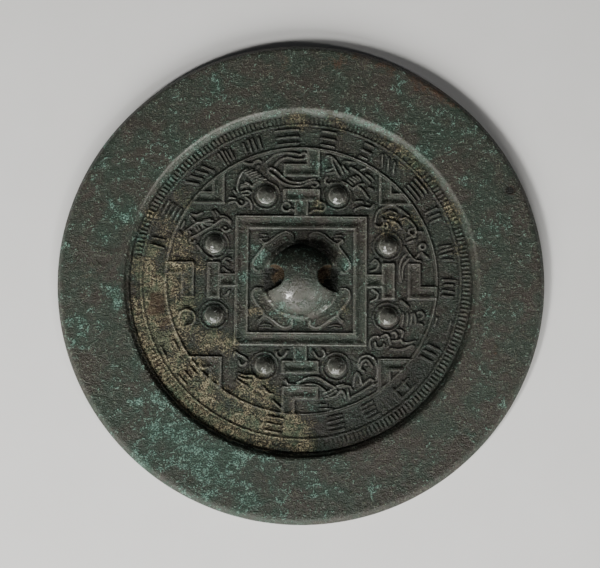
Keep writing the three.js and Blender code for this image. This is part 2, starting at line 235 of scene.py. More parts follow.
TOP_RIBBONS = [
    [(-13.8, 44.2), (-13, 45), (-10.1, 47.5), (-6.5, 48.4), (-3, 48.2), (-0.6, 47.6)],
    [(-10.1, 43.6), (-8.1, 45.6), (-5.5, 46.6), (-2.2, 46), (0.8, 46.2), (1.8, 47.4), (0.9, 48.5), (-0.2, 48)],
    [(-11.4, 42.6), (-9.5, 41.5), (-7.5, 39.6), (-5.2, 37.8), (-2.5, 37.1), (0, 37.2), (2.5, 38), (5, 38.6)],
    [(-12.5, 41), (-10, 39.2), (-7.5, 37.2), (-5, 36.1), (-2.5, 35.7), (0, 35.9), (2.5, 36.9), (5, 37.4),
     (6.3, 36.5), (5, 35.3), (4, 35.7)],
    [(-12.5, 41), (-12.4, 42.2), (-11.4, 42.7)],
]
MANED_CREATURE = [
    [(-21.5, 44.5), (-20, 44.2), (-18.5, 44), (-17.5, 45), (-16, 45.5), (-15.4, 44.9)],
    [(-16.8, 42.7), (-16.2, 43.4)],
    [(-21, 40.5), (-18.5, 41.8)],
    [(-20.3, 39.8), (-17, 41.2)],
    [(-19.5, 39), (-16.5, 40.4)],
    [(-18.8, 38.2), (-15.5, 39.8)],
    [(-18.2, 37.4), (-14.5, 38.9)],
    [(-20.5, 42), (-22.5, 40.5), (-23.5, 38), (-24, 35.5), (-23.7, 33.5)],
    [(-21, 37), (-19.5, 36.3), (-18.5, 35.2), (-17.8, 36.2), (-16, 37.3), (-13.5, 38.3)],
    [(-22.4, 36), (-20, 36.8)],
    [(-22.5, 35.2), (-20, 35.9)],
    [(-22.3, 33.3), (-20.2, 33.8), (-19, 33.2)],
    [(-22, 32.2), (-19.8, 32.3)],
    [(-24.2, 29.5), (-23.5, 28.3), (-22.4, 27.9), (-21.2, 28.4), (-20.3, 29.5)],
    [(-25.3, 33.9), (-24.5, 32.8)],
    [(-27, 31.2), (-24.8, 30.8)],
    [(-27, 29.2), (-25, 29.8)],
    [(-20.8, 31.2), (-19.3, 30), (-18.6, 28), (-18.7, 27)],
    [(-22.6, 30), (-22.3, 29.7)],
]
WINGED_CREATURE = [
    [(9, 47.2), (10.5, 47.3), (12, 46.2), (14, 43.5), (15.3, 40.8)],
    [(11, 46.5), (11.3, 45), (12.5, 42), (14, 39.5)],
    [(9.3, 41.8), (12, 42.6)],
    [(9.5, 40.5), (12.3, 41.3)],
    [(9.3, 39.5), (8.6, 38), (9.2, 36.8), (10.5, 36.5), (11.2, 37.3)],
    [(15.6, 44.8), (16, 45.3), (18, 45.1), (20, 44.8)],
    [(15.2, 43.8), (16.3, 42), (17.3, 41.2)],
    [(18, 43), (20, 42), (22, 40.5), (24, 38.8), (25.5, 37.2)],
    [(17.2, 38.2), (18.8, 36.8)],
    [(18, 39), (20, 37.7)],
    [(19, 39.5), (20.8, 38.3)],
    [(20.3, 39.8), (21.6, 38.8)],
    [(14.8, 37.6), (17, 36.5), (19.2, 35), (20.5, 36), (21.5, 36.6), (23, 36.8)],
    [(20.8, 35.8), (22.5, 34.5), (23.7, 33), (24.6, 31.5)],
    [(22, 42), (24.5, 43)],
    [(24, 40.5), (25.8, 39.3), (26.8, 38)],
    [(20, 30), (22.5, 30.1)],
    [(19.8, 26.8), (22, 28), (23, 28)],
    [(23.5, 27.8), (24.6, 27.5), (25.8, 27.6), (26.8, 29)],
    [(24.9, 35.3), (26.5, 34.7)],
    [(24.3, 29.6), (24.7, 29.4)],
]
BIRD = [
    [(27.4, 22.3), (28.3, 26), (31, 28), (34.5, 28.3), (37.5, 26.6), (39.7, 24.6)],
    [(27.3, 21.3), (28.2, 20.5), (29.8, 20.6), (30.7, 22), (30, 23.8)],
    [(30.4, 20.6), (31.3, 20), (32.2, 20.8), (31.6, 21.9)],
    [(30.8, 22.9), (33.2, 22.9), (35.6, 21.7), (36.8, 20.2)],
    [(36.5, 23.4), (38.8, 23.9), (41, 22), (42.5, 20)],
    [(39.5, 14.6), (42.3, 15.6)],
    [(39.2, 16.2), (42.5, 17)],
    [(40, 18), (41.2, 17.3), (42.4, 18), (42.5, 19.4), (41.2, 20), (40, 19.3), (40, 18)],
    [(42.3, 18.8), (45.2, 18.6)],
    [(38.3, 13), (39.5, 11), (41, 9), (42.5, 7.8), (44.3, 7.6)],
    [(42.5, 8.8), (44.3, 10.8), (45, 10.5), (47, 8.8)],
    [(43.9, 12.6), (44.8, 11.9), (46, 12.5), (46.1, 13.6), (45.2, 14.2), (44.1, 13.8), (43.9, 12.6)],
    [(39, 10.3), (37.5, 8.5), (36.7, 6), (36.5, 3), (36.8, 0)],
    [(40, 8.5), (38.3, 6.5), (37.6, 4), (37.5, 1)],
    [(31.4, 25.8), (32.6, 26.6)],
    [(33.6, 26.4), (35.2, 25.6)],
    [(33, 24.4), (34.8, 24.4)],
]
SIDE_SCROLLS = [
    [(37, -7.2), (38.3, -8.3), (39.8, -9.6)],
    [(37.7, -12), (37.8, -14.2), (37.3, -16.5)],
    [(39.4, -12), (39.5, -14.2), (39.1, -16.4)],
    [(41, -12.3), (40.9, -14.2), (40.6, -16)],
    [(41.8, -12), (42.4, -14), (42.3, -16)],
    [(43.2, -11.6), (44.3, -11.3), (45.3, -12.3), (45.1, -13.6), (44, -14.2)],
    [(43.5, -15.8), (44.8, -16.3)],
    [(26, -25.3), (25.5, -23), (26.3, -21.3), (28, -20.7), (28.8, -21)],
    [(27.5, -23), (28, -24.8), (29.5, -25), (30.8, -24.3), (30.8, -23.5)],
    [(30, -20.7), (31.5, -20), (32.5, -20.8), (32.9, -22.5), (33.2, -23.3)],
    [(33.8, -19.5), (34.8, -19.1), (35.5, -20.3), (35.3, -21)],
    [(36, -18.2), (37.3, -18.5), (37.8, -19.5), (37.3, -20.8)],
    [(34, -22.4), (36, -22.3), (37, -21.8), (37.5, -22.7), (38.5, -23.2), (40, -23), (42.3, -22.4)],
    [(33.2, -25.3), (36, -25.6), (38.5, -25.2), (40, -24.5), (41.3, -24), (41.7, -24.6)],
]
BOTTOM_RIBBONS = [
    [(-1, -38.3), (1, -37.4), (3, -36.4), (5.5, -36.1), (7.5, -36.7), (10, -38.3), (12.5, -39.7)],
    [(-5.3, -37.2), (-4.5, -38.8), (-2.5, -39), (0.5, -39.2), (2.5, -38.8), (5, -38.8), (7, -39.5), (9.5, -41.3)],
    [(8.8, -42), (10.5, -41.4), (13, -39.9)],
    [(9.3, -43.3), (11, -42.6), (13.3, -41)],
    [(9.5, -44.2), (13.2, -43)],
    [(13.4, -43), (14.5, -41.5), (15.3, -40.9), (16.2, -42), (16.6, -43.5)],
    [(13.5, -39.4), (16, -38.7)],
    [(15, -39.9), (17, -39.2), (18.3, -39.5), (19, -40.7)],
    [(17.5, -40.5), (17.8, -42.5), (18.1, -44.2)],
    [(19.6, -39), (20, -36), (21, -34.4), (22, -35.6), (22.4, -38.2)],
    [(21.6, -32.8), (21.3, -31), (21.8, -29.2), (23.3, -28.1), (25, -27.9), (27, -29), (28, -31), (28.3, -33.5),
     (28, -36.8)],
    [(23.5, -33.7), (22.3, -33.2), (22.3, -31.5), (23, -30), (24.5, -29.5), (25.8, -30.8), (26.5, -32)],
    [(23.8, -31.4), (24.3, -31)],
    [(23, -38.9), (24.5, -37.6), (25.7, -36.6), (27, -37.4)],
    [(18, -43.9), (21, -42.2), (24.5, -40.2), (27, -38.3)],
    [(7.5, -46.2), (10, -46.5)],
    [(7.5, -47.8), (12, -47.9)],
    [(-24.5, -28.5), (-23.8, -27), (-22.8, -27.9), (-21.5, -28.5), (-20.5, -29), (-19.6, -29.9)],
    [(-22.6, -30.3), (-22, -31.8), (-20.6, -31.9), (-19.8, -30.8)],
    [(-22.5, -36.3), (-20.5, -37.2), (-18.2, -37.2)],
    [(-22.5, -35.1), (-20, -35.8), (-18, -35.7)],
    [(-23, -37.5), (-21.5, -38.6), (-19.5, -39.7)],
    [(-17.3, -35.5), (-16, -36.9), (-14, -37.3)],
    [(-16, -33.8), (-14, -34.6), (-12.5, -35.4)],
    [(-13.5, -40), (-11.5, -42.4), (-10, -42.5)],
    [(-10, -45), (-8, -47), (-6, -48.3)],
]
HATCHED_WING = [
    [(-41.2, 15.6), (-39, 16.6), (-37, 18), (-34.5, 19.4), (-32.5, 20.6), (-30, 22.6), (-28.5, 22.9), (-27, 22),
     (-26.4, 21.3)],
    [(-30, 24), (-28.8, 24), (-27.5, 23.3), (-26.3, 22)],
    [(-28.5, 19.9), (-28, 19.7)],
    [(-29.3, 19.2), (-28.8, 18.4), (-27.7, 18.3), (-26.4, 19.1)],
    [(-41.3, 15), (-41, 14), (-40, 13.8), (-39.5, 14.5)],
    [(-42.7, 18.2), (-42.4, 17.2)],
    [(-41.7, 18.3), (-41.2, 17.6)],
    [(-39.6, 19.8), (-38.6, 18.3)],
    [(-38.7, 20.2), (-37.8, 18.8)],
    [(-37.2, 20.5), (-35.8, 19.6)],
    [(-43.2, 18), (-41.5, 19.4), (-39.5, 20.8), (-37, 21.3), (-34.5, 21), (-33, 21)],
    [(-41.5, 23.9), (-40, 22.2), (-39.3, 21.5), (-36, 21.8), (-33, 22.3)],
    [(-40.8, 24.7), (-39, 24.3), (-37, 25.3)],
    [(-36.3, 22.3), (-34, 22.8)],
    [(-33, 25.8), (-32, 24.3)],
    [(-32, 26), (-31, 24.8)],
    [(-45.9, 16.3), (-45.3, 17.8), (-44.6, 16.4), (-45.2, 14.8), (-45.9, 16.3)],
    [(-43.5, 22), (-44.5, 19.3)],
    [(-38.5, 12.9), (-36.5, 10.5), (-34.5, 8.8), (-33, 7.6)],
    [(-28, -5.8), (-27, -5.4), (-26.5, -4.2)],
    [(-45, -14.5), (-44.2, -12.3), (-42, -11.4), (-39.8, -12.4), (-38.9, -14.6), (-39.9, -16.8), (-42, -17.6)],
]
STEM_HOOKS = [
    [(26.3, 7), (27.4, 8), (28.7, 6.6), (28, 4.5), (25.9, 3.7)],
    [(26.8, 6.9), (27.5, 6.7)],
    [(26.4, -3.2), (28.3, -4.6), (28, -6.6), (26, -7.6)],
    [(-4.2, 28.2), (-5, 29.3), (-6.6, 29.1), (-7.3, 27.6), (-6.4, 26.3), (-4.9, 26.2), (-4, 26.9), (-2.1, 26.3)],
    [(5.7, 28.3), (6.6, 29.5), (8.3, 29.2), (9, 27.7), (8.1, 26.3), (6.4, 26.4), (5, 26.6), (3.1, 25.5)],
    [(4.7, -26.5), (6.2, -28.7), (7.3, -29.1), (8.6, -28.5), (8.9, -27), (8.2, -26)],
    [(-4.7, -26.5), (-6.2, -28.6), (-7.4, -28.9), (-8.6, -28.2), (-8.7, -26.9)],
    [(-27.8, 6.9), (-26.9, 6.3)],
    [(-28.8, 4.6), (-27.7, 3.6), (-26.2, 2.7)],
    [(-28.9, 7), (-27.8, 8.3), (-26.3, 7.9)],
]
CORNER_TICKS = [
    [(10.8, -17), (12.5, -16.5), (14.5, -16.8)],
    [(10.8, -18), (12.5, -17.5), (15, -17.8)],
    [(12.5, 15.9), (14.8, 15.8)],
    [(13, 17.1), (15, 17.3)],
]
# One half of the petal at the lower right, from beside the knob's foot to the panel's corner
PETAL_SIDE = [
    (3.1, -14.8), (3.3, -17.2), (5.8, -18.2), (8.6, -17), (10.8, -15.2), (13, -13.8), (14.2, -14.1), (15.1, -15.4),
]
PETAL_INNER = (9.5, -9.5)

# Stroke groups between the rings: middle angle, span in degrees, direction of the strokes and their count
STROKE_GROUPS = [
    (11.5, 7, "out", 4), (27, 6, "out", 3), (39, 9, "along", 4), (54, 7, "slant", 3), (64, 6, "along", 3),
    (79.5, 8, "along", 3), (96, 11, "along", 3), (110, 8, "out", 4), (121, 6, "out", 4), (134, 10, "slant", 4),
    (152, 8, "along", 4), (165.5, 5, "out", 2), (208.5, 6, "along", 2), (221, 6, "along", 3),
    (260, 8, "along", 3), (284, 8, "along", 4), (298, 7, "along", 4), (314, 9, "mixed", 4), (330.5, 7, "out", 3),
    (343, 6, "along", 2), (357.5, 8, "out", 4),
]


def turned(points, degrees):
    c, s = math.cos(math.radians(degrees)), math.sin(math.radians(degrees))
    return [(x * c - y * s, x * s + y * c) for x, y in points]


def polar(radius, degrees):
    return radius * math.cos(math.radians(degrees)), radius * math.sin(math.radians(degrees))


def flowing(points, spacing=0.5):
    """Points close together on a smooth line through the given ones."""
    given = np.array(points, float)
    if len(given) == 2:
        return given
    padded = np.vstack([2 * given[0] - given[1], given, 2 * given[-1] - given[-2]])
    made = []
    for i in range(1, len(padded) - 2):
        before, start, end, after = padded[i - 1:i + 3]
        count = max(2, int(np.linalg.norm(end - start) / spacing))
        for step in range(count):
            t = step / count
            made.append(0.5 * (
                2 * start + (end - before) * t + (2 * before - 5 * start + 4 * end - after) * t**2
                + (3 * start - before - 3 * end + after) * t**3
            ))
    made.append(given[-1])
    return np.array(made)


def group_strokes():
    """Plain strokes in the places of the groups, each a little shorter or longer than the next."""
    inner, outer = STROKES_INNER, STROKES_OUTER
    draw = np.random.default_rng(5)
    made = []
    for angle, span, way, count in STROKE_GROUPS:
        half = span / 2 - 0.8
        for i in range(count):
            share = i / (count - 1)
            low = inner + draw.uniform(0, 1.2)
            high = outer - draw.uniform(0, 1.2)
            start, end = angle - half + draw.uniform(0, 0.8), angle + half - draw.uniform(0, 0.8)
            at = angle - half + 2 * half * share
            if way == "out" or (way == "mixed" and i % 2 == 0):
                made.append([polar(low, at), polar(high, at + draw.uniform(-0.4, 0.4))])
            elif way == "slant":
                made.append([polar(low, at - 1.2), polar(high, at + 1.2)])
            else:
                level = inner + (outer - inner) * share
                made.append([polar(level, start), polar(level, (start + end) / 2), polar(level, end)])
    return made


def raised_lines():
    """Every raised line as (points, half width, height)."""
    figures = (
        TOP_RIBBONS + MANED_CREATURE + WINGED_CREATURE + BIRD + SIDE_SCROLLS + BOTTOM_RIBBONS + HATCHED_WING
        + STEM_HOOKS
    )
    lines = [(flowing(points), LINE_HALF, LINE_HEIGHT) for points in figures]
    lines += [(flowing(points), STROKE_HALF, STROKE_HEIGHT) for points in group_strokes()]
    beside_ring = [polar(47.4, angle) for angle in range(-67, -51, 3)]
    lines.append((flowing(beside_ring), FAINT_HALF, DOUBLE_HEIGHT))
    for points in CORNER_TICKS:
        for side in (1, -1):
            lines.append((flowing([(side * x, y) for x, y in points]), FAINT_HALF, TICK_HEIGHT))
    return lines


LINES = raised_lines()


def distance_to(points, x, y):
    """How far each place is from a line through the points."""
    nearest = np.full(x.shape, FAR)
    for (ax, ay), (bx, by) in zip(points[:-1], points[1:]):
        dx, dy = bx - ax, by - ay
        t = np.clip(((x - ax) * dx + (y - ay) * dy) / max(dx * dx + dy * dy, 1e-9), 0, 1)
        nearest = np.minimum(nearest, np.hypot(x - ax - t * dx, y - ay - t * dy))
    return nearest


def within_outline(corners, x, y):
    inside = np.zeros(x.shape, bool)
    for (ax, ay), (bx, by) in zip(corners, corners[1:] + corners[:1]):
        crosses = (ay > y) != (by > y)
        with np.errstate(divide="ignore", invalid="ignore"):
            inside ^= crosses & (x < (bx - ax) * (y - ay) / (by - ay) + ax)
    return inside


def trough(corners, x, y, half, height):
    """A concave band between raised borders that run along the corners."""
    border = distance_to(np.array(corners + corners[:1]), x, y)
    bowl = np.clip(1 - border / half, 0, 1) ** BOWL_CURVE
    return height * np.where(within_outline(corners, x, y), bowl, bell(border, MARK_HALF)), border


def petals(x, y):
    """Low filled leaves from the knob's foot to the corners of the panel, with a soft raised edge."""
    half_leaf = [tuple(point) for point in flowing(PETAL_SIDE, 1.0)]
    other_half = [(-b, -a) for a, b in half_leaf[::-1]]
    leaf = half_leaf + other_half + [PETAL_INNER]
    height, near = np.zeros_like(x), np.full(x.shape, FAR)
    for quarter in range(4):
        outline = turned(leaf, 90 * quarter)
        edge = distance_to(np.array(outline[:-1]), x, y)
        inside = within_outline(outline, x, y)
        fill = PETAL_MIDDLE + (PETAL_EDGE - PETAL_MIDDLE) * bell(edge, 1.3)
        raised = np.where(inside, fill, PETAL_EDGE * bell(edge, 0.8))
        height = np.maximum(height, raised)
        near = np.minimum(near, np.where(inside, FAR, edge))
    return height, near


def marks(x, y):
    """The T, L and V marks, by quarter turns."""
    reach = RING + 0.2
    bar = [(-6.5, 30.3), (6.5, 30.3), (6.5, 34.4), (-6.5, 34.4)]
    stem = [(-2.2, FRAME_OUTER), (2.2, FRAME_OUTER), (2.2, 30.3), (-2.2, 30.3)]
    ell = [(-6.4, 39.9), (6.4, 39.9), (6.4, reach), (2.2, reach), (2.2, 44.0), (-6.4, 44.0)]
    vee = [(29.2, reach), (29.2, 29.0), (reach, 29.0), (reach, 33.0), (33.2, 33.0), (33.2, reach)]
    height, near = np.zeros_like(x), np.full(x.shape, FAR)
    for quarter in range(4):
        c, s = round(math.cos(quarter * math.pi / 2)), round(math.sin(quarter * math.pi / 2))
        tx, ty = x * c + y * s, -x * s + y * c
        close = np.where((ty > 20) & (ty < 56))[0]
        for shape in (bar, stem, ell, vee):
            raised, border = trough(shape, tx[close], ty[close], MARK_BAND_HALF, MARK_HEIGHT)
            height[close] = np.maximum(height[close], raised)
            near[close] = np.minimum(near[close], border)
    within = np.hypot(x, y) < RING + 0.3
    return np.where(within, height, 0), np.where(within, near, FAR)


def cast_relief(x, y):
    """Height above the plate, how near the next raised line is, and where marks and frame run."""
    radius = np.hypot(x, y)
    square = np.maximum(np.abs(x), np.abs(y))
    height, near = marks(x, y)

    band = (square > FRAME_INNER) & (square < FRAME_OUTER)
    border = np.minimum(np.abs(square - FRAME_INNER), np.abs(square - FRAME_OUTER))
    bowl = np.clip(1 - border / ((FRAME_OUTER - FRAME_INNER) / 2), 0, 1) ** BOWL_CURVE
    height = np.maximum(height, MARK_HEIGHT * np.where(band, bowl, bell(border, MARK_HALF)))
    near = np.minimum(near, border)
    geometric = between(height, 0.35, 0.6)

    for points, half, high in LINES:
        low, top = points.min(0) - half - 0.9, points.max(0) + half + 0.9
        close = np.where((x > low[0]) & (x < top[0]) & (y > low[1]) & (y < top[1]))[0]
        if len(close):
            away = distance_to(points, x[close], y[close])
            height[close] = np.maximum(height[close], high * bell(away, half))
            near[close] = np.minimum(near[close], away)

    for ring, half, high in ((RING, RING_HALF, RING_HEIGHT), (FINE_RING, FINE_RING_HALF, FINE_RING_HEIGHT)):
        height = np.maximum(height, high * bell(radius - ring, half))
        near = np.minimum(near, np.abs(radius - ring))
    middle = np.where(square < FRAME_INNER)[0]
    leaves, beside = petals(x[middle], y[middle])
    height[middle] = np.maximum(height[middle], leaves)
    near[middle] = np.minimum(near[middle], beside)
    beside_mouths = between(np.abs(y - 0.4), 3.4, 6.4)
    collar = bell(np.maximum(radius - COLLAR_RADIUS, 0), COLLAR_HALF) * (radius > COLLAR_INNER)
    height = np.maximum(height, collar * beside_mouths * (0.75 + 0.6 * layered_noise(x, y, 4.0, 103)))

    turn = np.arctan2(y, x) / (2 * math.pi) * TEETH
    away = np.abs(turn - np.floor(turn) - 0.5) * 2 * math.pi * radius / TEETH
    comb = between(radius, COMB_INNER - 0.25, COMB_INNER + 0.25)
    comb = comb * (1 - between(radius, COMB_OUTER - 0.3, COMB_OUTER + 0.3))
    around = np.degrees(np.arctan2(y, x)) % 360
    for start, end in BURIED_TEETH:
        buried = between(around, start - 3, start + 3) * (1 - between(around, end - 3, end + 3))
        comb = comb * (1 - BURIED_SHARE * buried)
    height = np.maximum(height, TOOTH_HEIGHT * bell(away, TOOTH_HALF) * comb)
    near = np.where(comb > 0.1, np.minimum(near, away + 1.0), near)

    for sx in (1, -1):
        for sy in (1, -1):
            for nx, ny in ((sx * NIPPLE_ALONG, sy * NIPPLE_OUT), (sx * NIPPLE_OUT, sy * NIPPLE_ALONG)):
                away = np.hypot(x - nx, y - ny)
                dome = NIPPLE_HEIGHT * np.clip(1 - (away / NIPPLE_FOOT) ** 2, 0, 1) ** 1.5
                seat = SEAT_HEIGHT * bell(away - SEAT_RING, SEAT_HALF)
                dish = -DISH_DEPTH * bell(away - DISH_RADIUS, DISH_HALF)
                inside = away < SEAT_RING
                height = np.where(inside, dome + dish + seat, np.maximum(height, seat))
                near = np.minimum(near, np.abs(away - SEAT_RING))
    return height, near, geometric


def plate_top(x, y):
    """Height of the back inside the rim at each place, and the traces, wear and painted shade for the finish."""
    crust, green, rust = traces(x, y)
    raised, near, geometric = cast_relief(x, y - PATTERN_SHIFT)
    worn = 0.66 + 0.55 * layered_noise(x, y, 4.0, 41)
    height = raised * worn
    cover = crust * (0.45 * layered_noise(x, y, 2.2, 53) + 0.2 * layered_noise(x, y, 5.0, 59) - 0.1)
    height = height * (1 + 0.1 * crust) + cover
    height += 0.18 * (layered_noise(x, y, 2.4, 61) - 0.5) + 0.1 * green * (layered_noise(x, y, 0.9, 67) - 0.4)
    wear_and_sheen = between(raised, 0.42, 0.7) * (1 - 0.35 * geometric)
    wear_and_sheen = wear_and_sheen * (1 - 0.15 * between(raised, 0.9, 1.1))
    uneven = 0.2 + 0.8 * between(layered_noise(x, y, 4.0, 107), 0.4, 0.6)
    wear_and_sheen = wear_and_sheen * np.where(np.hypot(x, y - PATTERN_SHIFT) < KNOB_FOOT_REACH, uneven, 1)
    # Painted shade: the ground darkens at the foot of the raised lines and over the low ground between them. With it go
    # darker patina patches, the knob's painted cast shadow and a darker tone on the nipple and collar tops.
    crease_shade = (1 - between(near, 0.6, 1.8)) * (1 - between(raised, 0.05, 0.3))
    shade_and_stains = np.maximum(crease_shade, 0.85 * patches(x, y, DARK_PATCHES_AND_KNOB_SHADOW))
    shade_and_stains = np.maximum(shade_and_stains, 0.6 * between(raised, 0.9, 1.4) + 0.3 * (1 - between(raised, 0.1, 0.4)))
    return FLOOR + height, {"crust": crust, "green": green, "rust": rust, "wear_and_sheen": wear_and_sheen, "shade_and_stains": shade_and_stains}


def rim_top(x, y):
    """Height of the slope and the broad rim, and the traces, wear, painted highlights and painted shade for the finish.
    """
    crust, green, rust = traces(x, y)
    reach = np.hypot(x, y - RECESS_SHIFT)
    share = np.clip((reach - SLOPE_FOOT) / SLOPE_WIDTH, 0, 1)
    slope = share + 0.10 * np.sin(2 * math.pi * share)
    edge = bell(reach - RECESS_RADIUS, 0.9)
    height = FLOOR + (RIM_HEIGHT - FLOOR) * slope - 0.12 * edge
    height -= 0.07 * between(layered_noise(x, y, 2.4, 71), 0.6, 0.8)
    height += (0.03 + 0.08 * green) * (layered_noise(x, y, 1.5, 73) - 0.5)
    crust = crust * (1 - 0.75 * between(reach, RECESS_RADIUS - 2.0, RECESS_RADIUS - 1.2))
    crust = crust * (1 - between(reach, RECESS_RADIUS - 0.7, RECESS_RADIUS + 0.4))
    height += crust * (0.08 + 0.3 * layered_noise(x, y, 1.3, 53))
    # Painted highlight: the recess edge is lighter on its upper left side, which faces the lamps, over a little wear
    # all round, and the upper slope is painted lighter where it faces the lamps.
    around = np.degrees(np.arctan2(y, x))
    lit_side_boost = 1.6 * between(around, 98, 118) * (1 - between(around, 145, 162)) + 0.3
    wear_and_sheen = np.clip(bell(reach - RECESS_RADIUS, 0.6) * lit_side_boost, 0, 1)
    lit_slope = 0.5 * between(y, 10, 50) * between(share, 0.1, 0.5) * (share < 1)
    wear_and_sheen = np.maximum(wear_and_sheen, lit_slope * layered_noise(x, y, 2.0, 101))
    green = np.maximum(green, 0.35 * between(y, 15, 50) * (share > 0) * (share < 1))
    # Painted shade in the crease at the slope's foot and on the lower slope, which faces away from the lamps. The rim's
    # real stains darken it as well, and the rim is made darker towards the bottom.
    shaded = between(-y, 0, 40)
    shade_and_stains = np.maximum(bell(reach - SLOPE_FOOT, 0.9), 0.85 * shaded * (share > 0) * (1 - share**3))
    shade_and_stains = np.maximum(shade_and_stains, 0.9 * patches(x, y, RIM_STAINS) + 0.22 * between(-y, 30, 80))
    return height, {"crust": crust, "green": green, "rust": rust, "wear_and_sheen": wear_and_sheen, "shade_and_stains": shade_and_stains}


# Making meshes

# Traces that the finish reads. One carries real wear with painted sheen and highlights, another real stains with
# painted shade.
TRACE_NAMES = ("crust", "green", "rust", "wear_and_sheen", "shade_and_stains")
MERGE_DISTANCE = 0.004


def new_object(name, data):
    made = bpy.data.objects.new(name, data)
    bpy.context.scene.collection.objects.link(made)
    return made


def finished(name, bm, place):
    """Turns a bmesh made on a plain grid into a piece: place moves its points and says their traces."""
    mesh = bpy.data.meshes.new(name)
    bm.to_mesh(mesh)
    bm.free()
    flat = np.zeros(len(mesh.vertices) * 3)
    mesh.vertices.foreach_get("co", flat)
    points, said = place(flat.reshape(-1, 3))
    mesh.vertices.foreach_set("co", (points * MM).ravel())
    for trace in TRACE_NAMES:
        attribute = mesh.attributes.new(trace, "FLOAT", "POINT")
        attribute.data.foreach_set("value", np.broadcast_to(said[trace], len(points)).astype(np.float32))
    merged = bmesh.new()
    merged.from_mesh(mesh)
    bmesh.ops.remove_doubles(merged, verts=merged.verts, dist=MERGE_DISTANCE * MM)
    bmesh.ops.recalc_face_normals(merged, faces=merged.faces)
    for face in merged.faces:
        face.smooth = True
    merged.to_mesh(mesh)
    merged.free()
    return new_object(name, mesh)


def wrapped(name, columns, rows, place):
    """A closed skin from a grid of columns by rows whose opposite sides meet; place gets shares from 0 to 1."""
    bm = bmesh.new()
    bmesh.ops.create_grid(bm, x_segments=columns, y_segments=rows, size=0.5)

    def placed(points):
        return place(points[:, 0] + 0.5, points[:, 1] + 0.5)

    return finished(name, bm, placed)


# Bake maps: half of what each flat map shows, and the middle and scale of the rim's two islands
MAP_REACH = {"outer_band": 66.0, "field": 52.0, "square_panel": 26.0}
BACK_ISLAND = (0.36, 3.7)
FACE_ISLAND = (0.86, 1.4)


def planar_map(piece):
    """A bake map that looks straight down on the piece."""
    reach = MAP_REACH[piece.name]
    layer = piece.data.uv_layers.new(name="OFBake")
    corner = np.zeros(len(piece.data.loops), int)
    piece.data.loops.foreach_get("vertex_index", corner)
    flat = np.zeros(len(piece.data.vertices) * 3)
    piece.data.vertices.foreach_get("co", flat)
    places = flat.reshape(-1, 3)[corner, :2] / (2 * reach * MM) + 0.5
    layer.data.foreach_set("uv", places.astype(np.float32).ravel())


def two_sided_map(piece):
    """A bake map with the back and the face side by side, each laid out flat with its share of the rim's edge."""
    layer = piece.data.uv_layers.new(name="OFBake")
    for face in piece.data.polygons:
        reach = math.hypot(face.center.x, face.center.y)
        on_back = face.center.z > (2.2 * MM if reach > 80 * MM else 1.05 * MM)
        middle, scale = BACK_ISLAND if on_back else FACE_ISLAND
        for loop in face.loop_indices:
            x, y, z = piece.data.vertices[piece.data.loops[loop].vertex_index].co
            radius = max(math.hypot(x, y), 1e-6)
            drop = max(0.0, RIM_HEIGHT * MM - z) * (radius > 84 * MM) if on_back else z
            grow = (radius + drop) / radius * scale
            layer.data[loop].uv = middle + x * grow, middle + y * grow


def tuck(distance, width=0.3):
    """How far a skin's edge dips under its neighbour, from the distance to its edge."""
    return TUCK_DEPTH * (1 - smooth(distance / width))


def skin_rows(along, rows):
    """For a skin of the plate: its row, how far across the top that is, and whether it lies below the slab."""
    row = np.rint(along * rows)
    return row, np.clip((row - 1) / (rows - 3), 0, 1), (row == 0) | (row >= rows - 1)


def count(number):
    return max(8, int(number * FINENESS / 4) * 4)


def make_rim_body():
    """Face, side, rim and slope, turned from one outline."""
    # Each corner as (radius, height, rows up to it), from the middle of the face round to below the plate
    outline = [
        (0, 0, 0), (10, 0, 3), (30, 0, 4), (60, 0.48, 6), (89.1, 0.95, 8), (89.75, 1.25, 2), (DISC_RADIUS, 1.75, 2),
        (DISC_RADIUS, 2.8, 3), (89.85, 3.15, 1), (88.85, 4.45, 5), (88.55, 4.75, 1), (88.0, 4.97, 2),
        (86.5, RIM_HEIGHT, 2), (68, RIM_HEIGHT, 26), (66.4, RIM_HEIGHT, 5), (RECESS_RADIUS + 0.2, RIM_HEIGHT, 5),
        (SLOPE_FOOT, FLOOR, 10), (62.4, 1.7, 2), (61, 1.2, 1), (0, 1.2, 1),
    ]
    radii, levels, added = zip(*outline)
    steps = np.cumsum(added)
    side_starts, back_starts, rows = steps[4], steps[11], int(steps[-1])
    columns = count(720)
    shoulder_radius, hidden_radius = 88.2, 62.9

    def place(across, along):
        step = along * rows
        radius = np.interp(step, steps, radii)
        level = np.interp(step, steps, levels)
        angle = across * 2 * math.pi
        onto_back = step > back_starts
        shift = RECESS_SHIFT * np.where(onto_back, 1 - between(radius, 68, 84), 0)
        x, y = radius * np.cos(angle), radius * np.sin(angle) + shift
        top, said = rim_top(x, y)
        carried = onto_back & (radius < shoulder_radius) & (radius > hidden_radius)
        ease = between(shoulder_radius - radius, 0, 1.5)
        z = np.where(carried, level + (top - level) * np.where(radius > 80, ease, 1), level)
        bumps = 0.06 * (layered_noise(x, y, 4.0, 83) - 0.5)
        side = (step > side_starts) & ~carried & (radius > 80)
        grow = 1 + np.where(side, bumps / DISC_RADIUS, 0)
        x, y = x * grow, y * grow
        # Painted highlight: the outer shoulder is lighter on its lower left, which faces the lamps, over faint wear all
        # round.
        lit_lower_left = between(-y + 0.45 * x, 15, 70)
        shoulder = bell(radius - 88.4, 0.8) * onto_back * (0.05 + 0.95 * lit_lower_left)
        said["wear_and_sheen"] = np.maximum(said["wear_and_sheen"], shoulder)
        return np.stack([x, y, np.maximum(z, 0)], 1), said

    return wrapped("rim_body", columns, rows, place)


